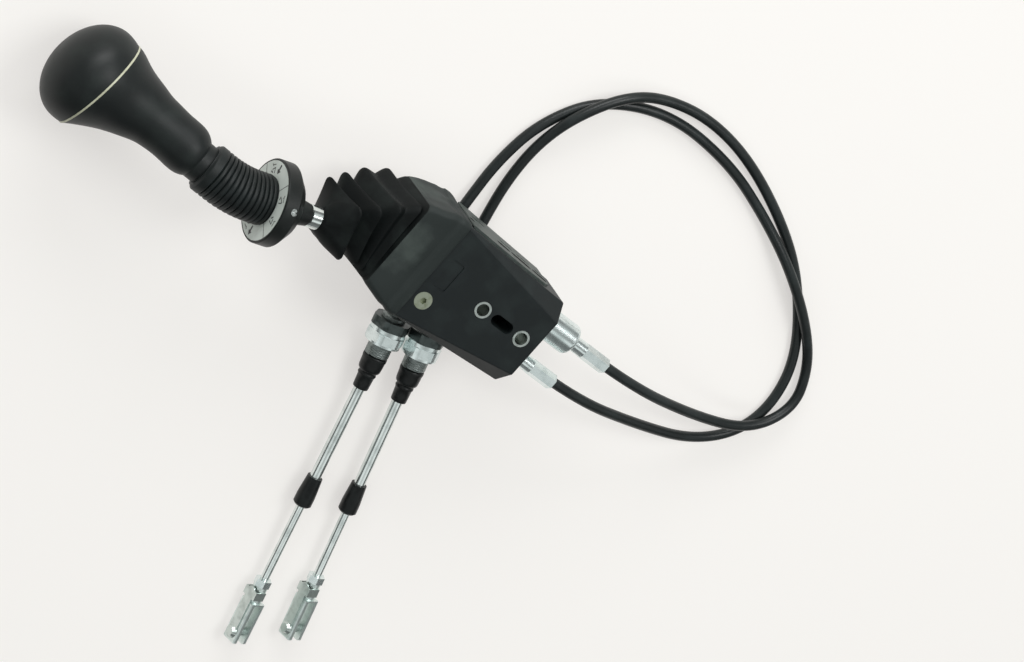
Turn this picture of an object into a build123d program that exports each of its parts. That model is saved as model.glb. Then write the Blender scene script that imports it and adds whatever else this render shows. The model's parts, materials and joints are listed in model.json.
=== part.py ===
"""Two-axis lever unit with two push-pull cables, for working a pair of valve spools from a cab.

Units are millimetres.  The unit lies on its back: +X runs along the housing towards the grip, +Y towards
the side where the fork heads lie, away from the slotted cover, and +Z up, out of the front face.  The origin is on the surface it lies on,
under the middle of the lever unit.  Places are first given from the "datum", the point on that surface
half way between the two mounting bolts.
"""

import os
from math import atan2, cos, degrees, radians, sin, tan

from build123d import *

os.makedirs("parts", exist_ok=True)

# ---------------------------------------------------------------- driving dimensions
datum_x, datum_y = -136.12, -14.47     # the bolts' midpoint, from the origin

# housing
housing_back = 18.5                  # the back face, held up by the cables that run under it
housing_depth = 50.0
housing_bottom_x = -30.0
housing_top_x = 62.0
housing_half_bottom = 33.0
housing_half_top = 37.0
facet_half_bottom = 21.9             # half width of the flat front face at the bottom end
facet_half_top = 36.0                # and where the facet runs out, at the top end
facet_drop = 12.2                    # how far the facet comes down the side at the bottom end
neck_half_width = 33.0
neck_half_depth = 22.5
neck_top_x = 76.0
cavity_half_width = 29.0
cavity_half_depth = 20.0
cavity_floor_x = 34.0
edge_rounding = 1.4

# mounting bushes and the slot between them
bolt_spacing = 34.0
bush_bore_radius = 4.2               # M8 with clearance
bush_radius = 5.65
bush_proud = 0.3
slot_length = 17.0
slot_width = 8.0
slot_depth = 34.0

# name plate recess and the screw beside it
plate_x, plate_y = 51.0, -4.2
plate_length, plate_width, plate_depth = 21.0, 9.6, 0.6
screw_x, screw_y = 52.9, 18.2
screw_head_radius = 6.0              # M6 countersunk
screw_radius = 3.0
screw_length = 14.0
screw_socket = 4.0                   # hexagon key, across flats

# side cover
cover_thickness = 1.6
cover_start_x, cover_end_x = -17.0, 57.0
cover_low, cover_high = 21.5, 57.0   # heights above the surface the unit lies on
cover_slot_length, cover_slot_width = 12.0, 2.4
cover_slot_xs = (-14.0, 3.0, 19.0, 45.0)
cover_slot_height = 37.0

# lever geometry
pivot_x = 64.0
lever_pitch = 8.0                    # as it lies: towards the front face
lever_yaw = 14.5                     # and away from the cover's side
pin_radius = 3.0
running_fit = 0.05
frame_half_width, frame_half_height, frame_half_thick = 26.5, 12.0, 5.0
window_half_width, window_half_height = 22.0, 9.0
ball_radius = 2.8
arm_1 = 15.5                         # drive ball of cable 1, in front of the pivot
arm_2 = 14.5                         # drive ball of cable 2, beside the pivot
drive_gap = 0.45                     # each side of a ball in its link
cable_half_spacing = 14.5
cable_sides = {1: -cable_half_spacing, 2: cable_half_spacing}

# lever shaft, disc and sleeve, as distances from the pivot along the lever
shaft_radius = 6.0
boss_radius = 6.5
lock_ring_start, lock_ring_length, lock_ring_radius = 77.0, 8.0, 7.4
disc_face = 116.0
disc_rim = 10.0
disc_radius = 27.2
disc_neck_radius = 9.0
disc_socket_radius = 15.6
disc_socket_depth = 6.0
label_radius = 25.7
label_thickness = 0.6
set_screw_radius = 2.3
sleeve_start = 111.0
bend_distance = 138.0                # where the lever's two straight lengths would meet
bend_radius = 60.0
sleeve_small_radius, sleeve_large_radius = 13.9, 16.3
sleeve_wall_fit = 0.05

rib_count = 11
rib_pitch, rib_depth = 3.4, 1.0
rib_gap = 0.25                       # between two ribs at the inside of the bend

# grip
grip_pitch, grip_yaw = -12.0, 0.0
grip_from_bend = 24.0                # the sleeve's end, from where the two straight lengths would meet
head_centre = (297.4, 37.2, 35.29)   # middle of the inlay, from the datum
head_pitch, head_yaw = -12.5, -7.5
collar_radius = 12.9
collar_length = 7.0
shaft_in_grip = 30.0
# distance from the sleeve's end, radius, and bow towards the cover's side
grip_stations = (
    (5.5, 12.6, 0.6),
    (8.4, 14.7, 1.0),
    (13.0, 16.4, 1.5),
    (19.0, 16.8, 2.0),
    (33.5, 17.0, 3.0),
    (42.0, 18.0, 3.1),
    (50.0, 20.3, 2.9),
    (58.6, 23.0, 2.4),
    (67.0, 26.5, 1.8),
    (75.0, 30.6, 1.1),
)
inlay_radius = 33.0
inlay_thickness = 1.2
cap_radius = 33.9
cap_widest, cap_height = 8.0, 33.4    # above the inlay's middle

# rubber boot: each section's middle from the datum, half width, half depth, pitch and yaw
boot_wall = 2.2
boot_corner = 6.0
skirt_sections = (
    ((59.0, -0.5, 43.5), 38.9, 26.2, 0.0, 0.0),
    ((66.0, -1.0, 43.5), 40.2, 27.0, 1.0, 0.0),
    ((76.0, -1.0, 43.8), 39.8, 27.0, 4.0, 0.0),
    ((86.0, -0.8, 44.8), 38.0, 26.0, 11.0, 0.0),
)
pleat_rims = (
    ((91.5, -0.5, 45.5), 31.3, 24.5, 15.0, 0.0),
    ((100.7, 2.3, 42.8), 28.5, 24.6, 18.0, 2.0),
    ((109.6, 5.3, 43.0), 25.5, 23.3, 20.0, 7.0),
    ((119.2, 10.2, 44.8), 22.5, 21.5, 22.0, 12.0),
    ((128.5, 14.0, 48.5), 19.5, 19.7, 24.0, 17.8),
)
groove_depth = 7.5
body_gap = 0.3                       # between rubber that moves with one piece and with the next

# cables and what is on their ends
cable_radius = 3.5
ferrule_radius = 5.35
crimp_flats = 9.6
crimp_length = 20.0
ferrule_1_end_x, ferrule_2_end_x = -90.0, -68.5
ferrule_inset = 10.0
end_socket_radius = 10.6
end_socket_inset = 5.0
end_socket_length = 34.0
hub_height = 12.5                    # axis above the surface; the washers lie on it
hub_radius = 8.0                     # M16 thread
hub_front, hub_back = 18.0, 12.0     # from the middle of the nuts
hub_tail = 15.0
hub_centres = {1: (29.1, 57.5), 2: (3.4, 50.2)}
clevis_tips = {1: (-39.5, 286.1), 2: (-68.7, 263.0)}
clevis_tip_height = 7.8
wiper_starts = {1: 111.0, 2: 106.0}
swivel_ball_radius, swivel_seat = 5.0, 12.5
nut_flats = 24.0
nut_thickness = 6.5
washer_radius = 12.0
washer_thickness = 1.5
hub_boot_length = 24.0
hub_boot_radius = 8.2
tube_radius = 3.8
wiper_length = 21.5
wiper_small_radius, wiper_large_radius = 5.2, 6.3
rod_radius = 2.9
rod_bore_fit = 0.06
lock_nut_flats = 10.0
lock_nut_thickness = 5.0
clevis_flats = 12.0
clevis_length = 43.0
clevis_neck = 12.0
clevis_neck_radius = 5.0
clevis_gap = 6.0
clevis_pin_from_end = 7.0
clevis_pin_radius = 3.0
clevis_roll = 25.0
clip_thickness = 0.8
travel = 6.0                         # most that either rod moves each way

front_z = housing_back + housing_depth
middle_z = housing_back + housing_depth / 2


# ---------------------------------------------------------------- planes
def level(height, x=0.0, y=0.0):
    """A plane facing up, at a height above the surface, seen from above."""
    return Plane(origin=(datum_x + x, datum_y + y, height))


def across(x, y=0.0, z=middle_z):
    """A plane facing the grip: its x is the unit's +Y and its y is up."""
    return Plane(origin=(datum_x + x, datum_y + y, z), x_dir=(0, 1, 0), z_dir=(1, 0, 0))


def tilted(point, pitch, yaw):
    """A plane facing along a lever that leans by pitch to the front and by yaw to the cover's side."""
    p, w = radians(pitch), radians(yaw)
    ahead = (cos(w) * cos(p), sin(w), cos(w) * sin(p))
    side = (-sin(w) * cos(p), cos(w), -sin(w) * sin(p))
    return Plane(origin=point, x_dir=side, z_dir=ahead)


pivot = Vector(datum_x + pivot_x, datum_y, middle_z)
gimbal = tilted(pivot, lever_pitch, 0)
lever = tilted(pivot, lever_pitch, lever_yaw)

# ---------------------------------------------------------------- housing
taper = (housing_half_top - housing_half_bottom) / (housing_top_x - housing_bottom_x)


def half_width(x):
    """Half the housing's width at x."""
    return housing_half_bottom + taper * (x - housing_bottom_x)


with BuildPart() as housing_shell:
    with BuildSketch(level(housing_back)):
        with BuildLine():
            Polyline(
                (housing_bottom_x, -housing_half_bottom),
                (housing_top_x, -housing_half_top),
                (housing_top_x, housing_half_top),
                (housing_bottom_x, housing_half_bottom),
                close=True,
            )
        make_face()
    extrude(amount=housing_depth)
    with BuildSketch(across(housing_top_x)):
        RectangleRounded(2 * neck_half_width, 2 * neck_half_depth, 6)
    extrude(amount=neck_top_x - housing_top_x)
    # the two front edges are cut back by facets that widen towards the bottom end
    for hand in (1, -1):
        low_front = Vector(datum_x + housing_bottom_x, datum_y + hand * facet_half_bottom, front_z)
        high_front = Vector(datum_x + housing_top_x, datum_y + hand * facet_half_top, front_z)
        low_side = Vector(datum_x + housing_bottom_x, datum_y + hand * housing_half_bottom, front_z - facet_drop)
        outward = (high_front - low_front).cross(low_side - low_front)
        if outward.Z < 0:
            outward = -outward
        split(bisect_by=Plane(origin=low_front, z_dir=outward), keep=Keep.BOTTOM)
    back_edges = housing_shell.faces().filter_by(Axis.Z).sort_by(Axis.Z)[0].edges()
    chamfer(back_edges, length=1.2)
    # every moulded edge in front of the back is rounded, the two long ones that the facets leave included
    moulded = [
        edge for edge in housing_shell.edges()
        if edge.center().Z > housing_back + 1.3 and edge.center().X < datum_x + housing_top_x - 1
    ]
    fillet(moulded, radius=edge_rounding)
    # room for the lever's pivots, open towards the grip
    with BuildSketch(across(cavity_floor_x)):
        RectangleRounded(2 * cavity_half_width, 2 * cavity_half_depth, 4)
    extrude(amount=neck_top_x - cavity_floor_x, mode=Mode.SUBTRACT)
    # bolt bushes and the slot between them
    with BuildSketch(level(front_z)):
        with GridLocations(bolt_spacing, 1, 2, 1):
            Circle(bush_radius)
    extrude(amount=-housing_depth, mode=Mode.SUBTRACT)
    with BuildSketch(level(front_z)):
        SlotOverall(slot_length, slot_width)
    extrude(amount=-slot_depth, mode=Mode.SUBTRACT)
    # name plate recess
    with BuildSketch(level(front_z, plate_x, plate_y)):
        RectangleRounded(plate_width, plate_length, 1.5)
    extrude(amount=-plate_depth, mode=Mode.SUBTRACT)
    # the countersunk screw's seat
    with Locations(level(front_z, screw_x, screw_y)):
        CounterSinkHole(screw_radius, screw_head_radius, depth=screw_length, counter_sink_angle=90)
    # guides for the two push links, and the seats of the cable ends
    with BuildSketch(across(housing_bottom_x)):
        with GridLocations(2 * cable_half_spacing, 1, 2, 1):
            Circle(2.5 + running_fit)
    extrude(amount=cavity_floor_x - housing_bottom_x, mode=Mode.SUBTRACT)
    with BuildSketch(across(housing_bottom_x)):
        with GridLocations(2 * cable_half_spacing, 1, 2, 1):
            Circle(ferrule_radius)
    extrude(amount=ferrule_inset, mode=Mode.SUBTRACT)
    with BuildSketch(across(housing_bottom_x, cable_sides[1])):
        Circle(end_socket_radius)
    extrude(amount=end_socket_inset, mode=Mode.SUBTRACT)
    # bearings of the pivot frame
    with BuildSketch(Plane(origin=pivot, x_dir=(1, 0, 0), z_dir=(0, -1, 0))):
        Circle(pin_radius + running_fit)
    extrude(amount=neck_half_width, both=True, mode=Mode.SUBTRACT)
housing_shell.part.label = "housing_shell"
export_step(housing_shell.part, "parts/housing_shell.step")

bush_xs = {"mounting_bush_upper": bolt_spacing / 2, "mounting_bush_lower": -bolt_spacing / 2}
for bush_name, bush_x in bush_xs.items():
    with BuildPart() as bush:
        with BuildSketch(level(housing_back, bush_x)):
            Circle(bush_radius)
            Circle(bush_bore_radius, mode=Mode.SUBTRACT)
        extrude(amount=housing_depth + bush_proud)
    bush.part.label = bush_name
    export_step(bush.part, f"parts/{bush_name}.step")

with BuildPart() as skirt_screw:
    with BuildSketch(level(front_z - screw_length, screw_x, screw_y)):
        Circle(screw_radius)
    extrude(amount=screw_length)
    with BuildSketch(level(front_z, screw_x, screw_y)):
        Circle(screw_head_radius)
    extrude(amount=-(screw_head_radius - screw_radius), taper=45)
    with BuildSketch(level(front_z, screw_x, screw_y)):
        RegularPolygon(screw_socket / 2, 6, major_radius=False)
    extrude(amount=-2.5, mode=Mode.SUBTRACT)
skirt_screw.part.label = "skirt_screw"
export_step(skirt_screw.part, "parts/skirt_screw.step")

# ---------------------------------------------------------------- side cover
cover_turn = atan2(housing_half_top - housing_half_bottom, housing_top_x - housing_bottom_x)
cover_plane = Plane(
    origin=(datum_x, datum_y - half_width(0), 0),
    x_dir=(cos(cover_turn), -sin(cover_turn), 0),
    z_dir=(-sin(cover_turn), -cos(cover_turn), 0),
)
with BuildPart() as side_cover:
    with BuildSketch(cover_plane):
        with BuildLine():
            Polyline(
                (cover_start_x, cover_low),
                (cover_end_x, cover_low),
                (cover_end_x, cover_high + 5),
                (cover_start_x + 30, cover_high + 2.5),
                (cover_start_x + 6, cover_high - 2),
                (cover_start_x, cover_high - 9),
                close=True,
            )
        make_face()
    extrude(amount=cover_thickness)
    outer_edges = side_cover.faces().sort_by(Axis.Y)[0].edges()
    chamfer(outer_edges, length=0.5)
    with BuildSketch(cover_plane.offset(cover_thickness)):
        with Locations(*[(x, cover_slot_height) for x in cover_slot_xs]):
            SlotOverall(cover_slot_length, cover_slot_width)
    extrude(amount=-cover_thickness, mode=Mode.SUBTRACT)
side_cover.part.label = "side_cover"
export_step(side_cover.part, "parts/side_cover.step")

# ---------------------------------------------------------------- pivot frame (gimbal)
with BuildPart() as pivot_frame:
    with BuildSketch(gimbal):
        RectangleRounded(2 * frame_half_width, 2 * frame_half_height, 3)
        RectangleRounded(2 * window_half_width, 2 * window_half_height, 2, mode=Mode.SUBTRACT)
    extrude(amount=frame_half_thick, both=True)
    with BuildSketch(Plane(origin=pivot, x_dir=(1, 0, 0), z_dir=(0, -1, 0))):
        Circle(pin_radius)
    extrude(amount=frame_half_width, both=True, mode=Mode.SUBTRACT)
    with BuildSketch(Plane(origin=pivot, x_dir=gimbal.x_dir, z_dir=gimbal.y_dir)):
        Circle(pin_radius + running_fit)
    extrude(amount=frame_half_height, both=True, mode=Mode.SUBTRACT)
pivot_frame.part.label = "pivot_frame"
export_step(pivot_frame.part, "parts/pivot_frame.step")

trunnion_reach = neck_half_width - 0.5
with BuildPart() as frame_trunnions:
    for hand in (1, -1):
        start = pivot + Vector(0, hand * window_half_width, 0)
        with BuildSketch(Plane(origin=start, x_dir=(1, 0, 0), z_dir=(0, hand, 0))):
            Circle(pin_radius)
        extrude(amount=trunnion_reach - window_half_width)
frame_trunnions.part.label = "frame_trunnions"
export_step(frame_trunnions.part, "parts/frame_trunnions.step")

# drive ball of cable 1, on the front of the frame
stud_1_plane = Plane(origin=pivot + gimbal.x_dir * cable_sides[1], x_dir=gimbal.x_dir, z_dir=gimbal.y_dir)
with BuildPart() as frame_ball_stud:
    with BuildSketch(stud_1_plane.offset(frame_half_height)):
        Circle(1.8)
    extrude(amount=arm_1 - frame_half_height)
    with Locations(stud_1_plane.offset(arm_1)):
        Sphere(ball_radius)
    split(bisect_by=stud_1_plane.offset(frame_half_height), keep=Keep.TOP)
frame_ball_stud.part.label = "frame_ball_stud"
export_step(frame_ball_stud.part, "parts/frame_ball_stud.step")

# ---------------------------------------------------------------- lever: pin, arm and shaft
lever_front = Plane(origin=pivot, x_dir=lever.x_dir, z_dir=lever.y_dir)
with BuildPart() as lever_cross_pin:
    with BuildSketch(lever_front):
        Circle(pin_radius)
    extrude(amount=frame_half_height - 0.4, both=True)
lever_cross_pin.part.label = "lever_cross_pin"
export_step(lever_cross_pin.part, "parts/lever_cross_pin.step")

arm_low, arm_high = 5.5, window_half_height - 0.7
with BuildPart() as lever_arm:
    with BuildSketch(lever_front.offset(arm_low)):
        Circle(boss_radius)
        with BuildLine():
            Polyline((0, 3), (arm_2, 3), (arm_2 + 2.5, 0), (arm_2, -3), (0, -3), close=True)
        make_face()
        Circle(pin_radius, mode=Mode.SUBTRACT)
    extrude(amount=arm_high - arm_low)
    with BuildSketch(lever_front.offset(arm_low)):
        with Locations((arm_2, 0)):
            Circle(1.5)
    extrude(amount=-arm_low)
    with Locations(lever_front):
        with Locations((arm_2, 0, 0)):
            Sphere(ball_radius)
lever_arm.part.label = "lever_arm"
export_step(lever_arm.part, "parts/lever_arm.step")

bend_point = pivot + lever.z_dir * bend_distance
grip_dir = tilted(bend_point, grip_pitch, grip_yaw).z_dir
sleeve_end = bend_point + grip_dir * grip_from_bend
shaft_end = sleeve_end + grip_dir * shaft_in_grip
with BuildPart() as lever_shaft:
    with BuildSketch(lever_front.offset(-arm_high)):
        Circle(boss_radius)
        Circle(pin_radius, mode=Mode.SUBTRACT)
    extrude(amount=arm_high + arm_low)
    with BuildLine():
        FilletPolyline(pivot + lever.z_dir * (boss_radius - 1.2), bend_point, shaft_end, radius=bend_radius)
    with BuildSketch(lever.offset(boss_radius - 1.2)):
        Circle(shaft_radius)
    sweep()
    with BuildSketch(lever_front.offset(arm_low)):
        Circle(boss_radius + 0.05)
    extrude(amount=arm_high - arm_low, mode=Mode.SUBTRACT)
lever_shaft.part.label = "lever_shaft"
export_step(lever_shaft.part, "parts/lever_shaft.step")

# ---------------------------------------------------------------- disc, label and lock ring
disc_back = disc_face - disc_rim - 12.0
with BuildPart() as direction_disc:
    disc_side = Plane(origin=pivot, x_dir=lever.x_dir, z_dir=-lever.y_dir)
    with BuildSketch(disc_side):
        with BuildLine():
            Polyline(
                (shaft_radius, lock_ring_start + lock_ring_length),
                (lock_ring_radius - 0.3, lock_ring_start + lock_ring_length),
                (disc_neck_radius, disc_back + 1),
                (disc_neck_radius + 1.5, disc_back + 4),
                (disc_radius - 8.0, disc_back + 5),
                (disc_radius - 0.4, disc_face - disc_rim),
                (disc_radius, disc_face - disc_rim + 0.6),
                (disc_radius, disc_face - 0.8),
                (disc_radius - 0.6, disc_face),
                (label_radius, disc_face),
                (label_radius, disc_face - label_thickness),
                (disc_socket_radius, disc_face - label_thickness),
                (disc_socket_radius, disc_face - disc_socket_depth),
                (shaft_radius, disc_face - disc_socket_depth),
                close=True,
            )
        make_face()
    revolve(axis=Axis(pivot, lever.z_dir))
    with BuildSketch(Plane(origin=pivot + lever.z_dir * (disc_face - 7.5), x_dir=lever.z_dir,
                           z_dir=(lever.y_dir * 0.96 - lever.x_dir * 0.28).normalized())):
        Circle(set_screw_radius)
    extrude(amount=disc_radius + 1, mode=Mode.SUBTRACT)
direction_disc.part.label = "direction_disc"
export_step(direction_disc.part, "parts/direction_disc.step")

with BuildPart() as disc_label:
    with BuildSketch(lever.offset(disc_face - label_thickness)):
        Circle(label_radius)
        Circle(disc_socket_radius, mode=Mode.SUBTRACT)
    extrude(amount=label_thickness)
disc_label.part.label = "disc_label"
export_step(disc_label.part, "parts/disc_label.step")

screw_plane = Plane(origin=pivot + lever.z_dir * (disc_face - 7.5), x_dir=lever.z_dir,
                    z_dir=(lever.y_dir * 0.96 - lever.x_dir * 0.28).normalized())
with BuildPart() as disc_set_screw:
    with BuildSketch(screw_plane.offset(shaft_radius)):
        Circle(set_screw_radius)
    extrude(amount=disc_radius - 0.8 - shaft_radius)
    with BuildSketch(screw_plane.offset(disc_radius - 0.8)):
        Rectangle(2 * set_screw_radius, 0.8)
    extrude(amount=-1.2, mode=Mode.SUBTRACT)
disc_set_screw.part.label = "disc_set_screw"
export_step(disc_set_screw.part, "parts/disc_set_screw.step")

with BuildPart() as lever_lock_ring:
    with BuildSketch(lever.offset(lock_ring_start)):
        Circle(lock_ring_radius)
        Circle(shaft_radius, mode=Mode.SUBTRACT)
    extrude(amount=lock_ring_length)
    chamfer(lever_lock_ring.edges().filter_by(GeomType.CIRCLE).group_by(SortBy.RADIUS)[-1], length=0.7)
lever_lock_ring.part.label = "lever_lock_ring"
export_step(lever_lock_ring.part, "parts/lever_lock_ring.step")

# ---------------------------------------------------------------- sleeve and grip
sleeve_path = FilletPolyline(pivot + lever.z_dir * sleeve_start, bend_point, sleeve_end, radius=bend_radius)


def along_sleeve(distance):
    """The plane across the sleeve, a distance from its end in the disc."""
    share = distance / sleeve_path.length
    return Plane(origin=sleeve_path @ share, x_dir=(0, 0, 1), z_dir=sleeve_path % share)


rib_width = rib_pitch * (1 - sleeve_large_radius / bend_radius) - rib_gap
with BuildPart() as corrugated_sleeve:
    with BuildSketch(lever.offset(sleeve_start)):
        Circle(sleeve_small_radius)
    with BuildSketch(lever.offset(sleeve_start + 8)):
        Circle(sleeve_large_radius - 0.6)
    loft()
    with BuildLine():
        add(sleeve_path)
    with BuildSketch(lever.offset(sleeve_start)):
        Circle(sleeve_small_radius)
    sweep()
    with BuildLine():
        FilletPolyline(along_sleeve(6).origin, bend_point, sleeve_end, radius=bend_radius)
    with BuildSketch(along_sleeve(6)):
        Circle(sleeve_large_radius - rib_depth)
    sweep()
    for rib in range(rib_count):
        with BuildSketch(along_sleeve(sleeve_path.length - 2.2 - rib * rib_pitch)):
            Circle(sleeve_large_radius)
        extrude(amount=rib_width / 2, both=True)
    with BuildLine():
        add(sleeve_path)
    with BuildSketch(lever.offset(sleeve_start)):
        Circle(shaft_radius + sleeve_wall_fit)
    sweep(mode=Mode.SUBTRACT)
corrugated_sleeve.part.label = "corrugated_sleeve"
export_step(corrugated_sleeve.part, "parts/corrugated_sleeve.step")

head_point = Vector(datum_x + head_centre[0], datum_y + head_centre[1], head_centre[2])
head = tilted(head_point, head_pitch, head_yaw)
grip_line = head_point - sleeve_end
collar = Plane(origin=sleeve_end, x_dir=(0, 1, 0), z_dir=grip_dir)


def across_grip(distance, bow):
    """The plane across the grip at a distance from the sleeve's end."""
    share = distance / grip_line.length
    middle = sleeve_end + grip_line * share - Vector(0, bow, 0)
    return tilted(middle, grip_pitch + share * (head_pitch - grip_pitch), grip_yaw + share * (head_yaw - grip_yaw))


with BuildPart() as grip_body:
    for distance, radius, bow in grip_stations:
        with BuildSketch(across_grip(distance, bow)):
            Circle(radius)
    with BuildSketch(head.offset(-inlay_thickness / 2)):
        Circle(inlay_radius)
    loft()
    with BuildSketch(collar):
        Circle(collar_radius)
    extrude(amount=collar_length)
    with BuildSketch(collar):
        Circle(shaft_radius)
    extrude(amount=shaft_in_grip, mode=Mode.SUBTRACT)
grip_body.part.label = "grip_body"
export_step(grip_body.part, "parts/grip_body.step")

with BuildPart() as grip_inlay_ring:
    with BuildSketch(head.offset(-inlay_thickness / 2)):
        Circle(inlay_radius + 0.15)
    extrude(amount=inlay_thickness)
grip_inlay_ring.part.label = "grip_inlay_ring"
export_step(grip_inlay_ring.part, "parts/grip_inlay_ring.step")

with BuildPart() as grip_cap:
    head_side = Plane(origin=head_point, x_dir=head.x_dir, z_dir=-head.y_dir)
    with BuildSketch(head_side):
        with BuildLine():
            foot = (inlay_radius, inlay_thickness / 2)
            lift = 0.56 * (cap_height - cap_widest)
            dome = Bezier(
                (cap_radius, cap_widest), (cap_radius, cap_widest + lift), (0.56 * cap_radius, cap_height), (0, cap_height)
            )
            ThreePointArc(foot, (cap_radius - 0.25, cap_widest / 2), dome @ 0)
            Polyline(dome @ 1, (0, inlay_thickness / 2), foot)
        make_face()
    revolve(axis=Axis(head_point, head.z_dir))
grip_cap.part.label = "grip_cap"
export_step(grip_cap.part, "parts/grip_cap.step")


# ---------------------------------------------------------------- rubber boot
def boot_plane(section, lift=0.0):
    """The plane of one of the boot's sections, moved along its own normal by lift."""
    middle, _, _, pitch, yaw = section
    point = Vector(datum_x + middle[0], datum_y + middle[1], middle[2])
    return tilted(point, pitch, yaw).offset(lift)


def groove_between(low, high):
    """The section at the bottom of the groove between two rims."""
    middle = tuple((a + b) / 2 for a, b in zip(low[0], high[0]))
    half_y, half_z, pitch, yaw = [(a + b) / 2 for a, b in zip(low[1:], high[1:])]
    return (middle, half_y - groove_depth, half_z - groove_depth, pitch, yaw)


def with_grooves(rims):
    """Rims and the grooves between them, in order."""
    folds = [rims[0]]
    for low, high in zip(rims, rims[1:]):
        folds += [groove_between(low, high), high]
    return folds


with BuildPart() as boot_skirt:
    for section in skirt_sections + pleat_rims[:1]:
        with BuildSketch(boot_plane(section)):
            RectangleRounded(2 * section[1], 2 * section[2], boot_corner)
    loft(ruled=True)
    for section in skirt_sections[2:] + pleat_rims[:1]:
        with BuildSketch(boot_plane(section)):
            RectangleRounded(2 * (section[1] - boot_wall), 2 * (section[2] - boot_wall), boot_corner - boot_wall)
    loft(ruled=True, mode=Mode.SUBTRACT)
    with BuildSketch(across(housing_top_x)):
        RectangleRounded(2 * neck_half_width, 2 * neck_half_depth, 6)
    extrude(amount=20, mode=Mode.SUBTRACT)
    with BuildSketch(across(skirt_sections[0][0][0] - 1)):
        Rectangle(2 * housing_half_top + 0.1, housing_depth + 0.1)
    extrude(amount=housing_top_x + 1 - skirt_sections[0][0][0], mode=Mode.SUBTRACT)
boot_skirt.part.label = "boot_skirt"
export_step(boot_skirt.part, "parts/boot_skirt.step")

lower_folds = with_grooves(pleat_rims[:3])
upper_folds = with_grooves(pleat_rims[2:])
with BuildPart() as boot_bellows_lower:
    for section in lower_folds:
        with BuildSketch(boot_plane(section)):
            RectangleRounded(2 * section[1], 2 * section[2], boot_corner)
    loft(ruled=True)
    for section in lower_folds:
        with BuildSketch(boot_plane(section)):
            RectangleRounded(2 * (section[1] - boot_wall), 2 * (section[2] - boot_wall), boot_corner - boot_wall)
    loft(ruled=True, mode=Mode.SUBTRACT)
boot_bellows_lower.part.label = "boot_bellows_lower"
export_step(boot_bellows_lower.part, "parts/boot_bellows_lower.step")

with BuildPart() as boot_bellows_upper:
    for number, section in enumerate(upper_folds):
        with BuildSketch(boot_plane(section, body_gap if number == 0 else 0)):
            RectangleRounded(2 * section[1], 2 * section[2], boot_corner)
    with BuildSketch(lever.offset(lock_ring_start - 3)):
        RectangleRounded(18, 18, boot_corner)
    loft(ruled=True)
    for number, section in enumerate(upper_folds):
        with BuildSketch(boot_plane(section, body_gap if number == 0 else 0)):
            RectangleRounded(2 * (section[1] - boot_wall), 2 * (section[2] - boot_wall), boot_corner - boot_wall)
    loft(ruled=True, mode=Mode.SUBTRACT)
    with BuildSketch(lever.offset(lock_ring_start - 3)):
        Circle(8.6)
    extrude(amount=3)
    with BuildSketch(lever.offset(lock_ring_start - 30)):
        Circle(shaft_radius)
    extrude(amount=32, mode=Mode.SUBTRACT)
boot_bellows_upper.part.label = "boot_bellows_upper"
export_step(boot_bellows_upper.part, "parts/boot_bellows_upper.step")

# ---------------------------------------------------------------- push links between balls and cables
link_radius = 2.5
link_start_x = -18.0
riser_x, riser_length = 40.0, 6.0
ball_1 = pivot + gimbal.x_dir * cable_sides[1] + gimbal.y_dir * arm_1
ball_2 = pivot + lever.x_dir * arm_2

with BuildPart() as push_link_1:
    with BuildSketch(across(link_start_x, cable_sides[1])):
        Circle(link_radius)
    extrude(amount=riser_x + 2 - link_start_x)
    with BuildSketch(across(riser_x, cable_sides[1])):
        with Locations((0, 7.25)):
            Rectangle(6, 19.5)
    extrude(amount=riser_length)
    with BuildSketch(level(middle_z + 14)):
        with Locations((riser_x + 14.25, cable_sides[1])):
            Rectangle(28.5, 13)
        with Locations((ball_1.X - datum_x, cable_sides[1])):
            Rectangle(2 * (ball_radius + drive_gap), 6.8, mode=Mode.SUBTRACT)
    extrude(amount=3)
push_link_1.part.label = "push_link_1"
export_step(push_link_1.part, "parts/push_link_1.step")

with BuildPart() as push_link_2:
    eye_x = ball_2.X - datum_x
    with BuildSketch(across(link_start_x, cable_sides[2])):
        Circle(link_radius)
    extrude(amount=eye_x - 5 - link_start_x)
    with BuildSketch(level(middle_z - 1.5)):
        with Locations((eye_x, cable_sides[2] - 0.35)):
            RectangleRounded(14, 12, 2)
            Rectangle(2 * (ball_radius + drive_gap), 7.2, mode=Mode.SUBTRACT)
    extrude(amount=3)
push_link_2.part.label = "push_link_2"
export_step(push_link_2.part, "parts/push_link_2.step")

# ---------------------------------------------------------------- cable ends at the housing
ferrule_ends = {1: ferrule_1_end_x, 2: ferrule_2_end_x}
cable_grip = 20.0                    # how deep a cable sits in what is crimped on it

with BuildPart() as cable_1_end_socket:
    with BuildSketch(across(housing_bottom_x + end_socket_inset, cable_sides[1])):
        Circle(end_socket_radius)
    extrude(amount=-end_socket_length)
    fillet(cable_1_end_socket.edges().filter_by(GeomType.CIRCLE).sort_by(Axis.X)[0], radius=3)
    with BuildSketch(across(housing_bottom_x + end_socket_inset, cable_sides[1])):
        Circle(ferrule_radius)
    extrude(amount=-end_socket_length, mode=Mode.SUBTRACT)
cable_1_end_socket.part.label = "cable_1_end_socket"
export_step(cable_1_end_socket.part, "parts/cable_1_end_socket.step")

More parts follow.
